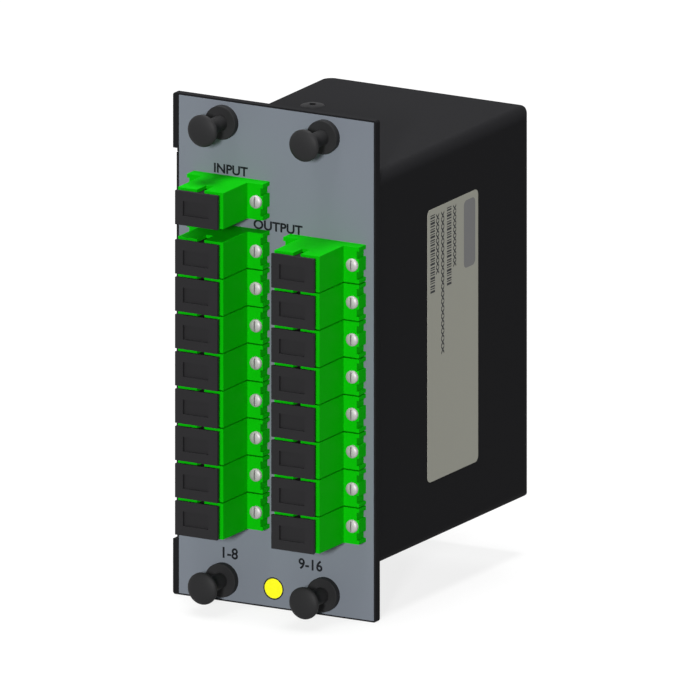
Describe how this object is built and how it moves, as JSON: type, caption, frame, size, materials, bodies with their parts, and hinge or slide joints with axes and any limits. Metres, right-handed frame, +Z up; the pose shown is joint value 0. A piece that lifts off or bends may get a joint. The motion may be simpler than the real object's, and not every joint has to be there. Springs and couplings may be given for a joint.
{
  "type": "fibre optic splitter cassette",
  "caption": "Black folded-metal fibre splitter cassette with a grey faceplate, green square adapters under black dust caps, and push latches at its corners.",
  "frame": {"origin": "centre of the four push latches, on the faceplate's back face", "axes": "+X to the right as the ports are faced, +Y back into the housing, +Z up along the faceplate"},
  "size_m": [0.0585, 0.0972, 0.13],
  "materials": {
    "black_paint": "fine satin powder coat",
    "face_print": "matt printed film",
    "label_film": "matt silver-grey sticker",
    "green_plastic": "moulded, slight sheen",
    "black_cap": "soft moulded plastic, matt",
    "latch_plastic": "moulded nylon",
    "bright_steel": "bright plated",
    "dark_screw": "black plated",
    "ceramic": "polished white ceramic",
    "inner_plastic": "moulded",
    "boot_rubber": "matt",
    "chip_steel": "drawn steel case",
    "fibre": "white fibre coating"
  },
  "bodies": {
    "housing": {"chassis": "black_paint", "cover": "black_paint", "face_overlay": "face_print", "side_label": "label_film", "adapter_in": "green_plastic", "adapter_out_01": "green_plastic", "adapter_out_02": "green_plastic", "adapter_out_03": "green_plastic", "adapter_out_04": "green_plastic", "adapter_out_05": "green_plastic", "adapter_out_06": "green_plastic", "adapter_out_07": "green_plastic", "adapter_out_08": "green_plastic", "adapter_out_09": "green_plastic", "adapter_out_10": "green_plastic", "adapter_out_11": "green_plastic", "adapter_out_12": "green_plastic", "adapter_out_13": "green_plastic", "adapter_out_14": "green_plastic", "adapter_out_15": "green_plastic", "adapter_out_16": "green_plastic", "latch_grommet_1": "latch_plastic", "latch_grommet_2": "latch_plastic", "latch_grommet_3": "latch_plastic", "latch_grommet_4": "latch_plastic", "adapter_screws": "bright_steel", "cover_screws": "dark_screw", "alignment_sleeves": "ceramic", "inner_plugs": "inner_plastic", "chip_clips": "inner_plastic", "coil_clips": "inner_plastic", "plug_boots": "boot_rubber", "splitter_chip": "chip_steel", "fibre_coil": "fibre"},
    "cap_in": {"dust_cap_in": "black_cap"},
    "cap_out_01": {"dust_cap_out_01": "black_cap"},
    "cap_out_02": {"dust_cap_out_02": "black_cap"},
    "cap_out_03": {"dust_cap_out_03": "black_cap"},
    "cap_out_04": {"dust_cap_out_04": "black_cap"},
    "cap_out_05": {"dust_cap_out_05": "black_cap"},
    "cap_out_06": {"dust_cap_out_06": "black_cap"},
    "cap_out_07": {"dust_cap_out_07": "black_cap"},
    "cap_out_08": {"dust_cap_out_08": "black_cap"},
    "cap_out_09": {"dust_cap_out_09": "black_cap"},
    "cap_out_10": {"dust_cap_out_10": "black_cap"},
    "cap_out_11": {"dust_cap_out_11": "black_cap"},
    "cap_out_12": {"dust_cap_out_12": "black_cap"},
    "cap_out_13": {"dust_cap_out_13": "black_cap"},
    "cap_out_14": {"dust_cap_out_14": "black_cap"},
    "cap_out_15": {"dust_cap_out_15": "black_cap"},
    "cap_out_16": {"dust_cap_out_16": "black_cap"},
    "plunger_1": {"latch_plunger_1": "latch_plastic"},
    "plunger_2": {"latch_plunger_2": "latch_plastic"},
    "plunger_3": {"latch_plunger_3": "latch_plastic"},
    "plunger_4": {"latch_plunger_4": "latch_plastic"}
  },
  "joints": [
    {"name": "cap_in_pull", "type": "slide", "parent": "housing", "child": "cap_in", "axis": [0, -1, 0], "range_m": [0, 0.02]},
    {"name": "cap_out_01_pull", "type": "slide", "parent": "housing", "child": "cap_out_01", "axis": [0, -1, 0], "range_m": [0, 0.02]},
    {"name": "cap_out_02_pull", "type": "slide", "parent": "housing", "child": "cap_out_02", "axis": [0, -1, 0], "range_m": [0, 0.02]},
    {"name": "cap_out_03_pull", "type": "slide", "parent": "housing", "child": "cap_out_03", "axis": [0, -1, 0], "range_m": [0, 0.02]},
    {"name": "cap_out_04_pull", "type": "slide", "parent": "housing", "child": "cap_out_04", "axis": [0, -1, 0], "range_m": [0, 0.02]},
    {"name": "cap_out_05_pull", "type": "slide", "parent": "housing", "child": "cap_out_05", "axis": [0, -1, 0], "range_m": [0, 0.02]},
    {"name": "cap_out_06_pull", "type": "slide", "parent": "housing", "child": "cap_out_06", "axis": [0, -1, 0], "range_m": [0, 0.02]},
    {"name": "cap_out_07_pull", "type": "slide", "parent": "housing", "child": "cap_out_07", "axis": [0, -1, 0], "range_m": [0, 0.02]},
    {"name": "cap_out_08_pull", "type": "slide", "parent": "housing", "child": "cap_out_08", "axis": [0, -1, 0], "range_m": [0, 0.02]},
    {"name": "cap_out_09_pull", "type": "slide", "parent": "housing", "child": "cap_out_09", "axis": [0, -1, 0], "range_m": [0, 0.02]},
    {"name": "cap_out_10_pull", "type": "slide", "parent": "housing", "child": "cap_out_10", "axis": [0, -1, 0], "range_m": [0, 0.02]},
    {"name": "cap_out_11_pull", "type": "slide", "parent": "housing", "child": "cap_out_11", "axis": [0, -1, 0], "range_m": [0, 0.02]},
    {"name": "cap_out_12_pull", "type": "slide", "parent": "housing", "child": "cap_out_12", "axis": [0, -1, 0], "range_m": [0, 0.02]},
    {"name": "cap_out_13_pull", "type": "slide", "parent": "housing", "child": "cap_out_13", "axis": [0, -1, 0], "range_m": [0, 0.02]},
    {"name": "cap_out_14_pull", "type": "slide", "parent": "housing", "child": "cap_out_14", "axis": [0, -1, 0], "range_m": [0, 0.02]},
    {"name": "cap_out_15_pull", "type": "slide", "parent": "housing", "child": "cap_out_15", "axis": [0, -1, 0], "range_m": [0, 0.02]},
    {"name": "cap_out_16_pull", "type": "slide", "parent": "housing", "child": "cap_out_16", "axis": [0, -1, 0], "range_m": [0, 0.02]},
    {"name": "latch_1_push", "type": "slide", "parent": "housing", "child": "plunger_1", "axis": [0, 1, 0], "range_m": [0, 0.0085]},
    {"name": "latch_2_push", "type": "slide", "parent": "housing", "child": "plunger_2", "axis": [0, 1, 0], "range_m": [0, 0.0085]},
    {"name": "latch_3_push", "type": "slide", "parent": "housing", "child": "plunger_3", "axis": [0, 1, 0], "range_m": [0, 0.0085]},
    {"name": "latch_4_push", "type": "slide", "parent": "housing", "child": "plunger_4", "axis": [0, 1, 0], "range_m": [0, 0.0085]}
  ]
}
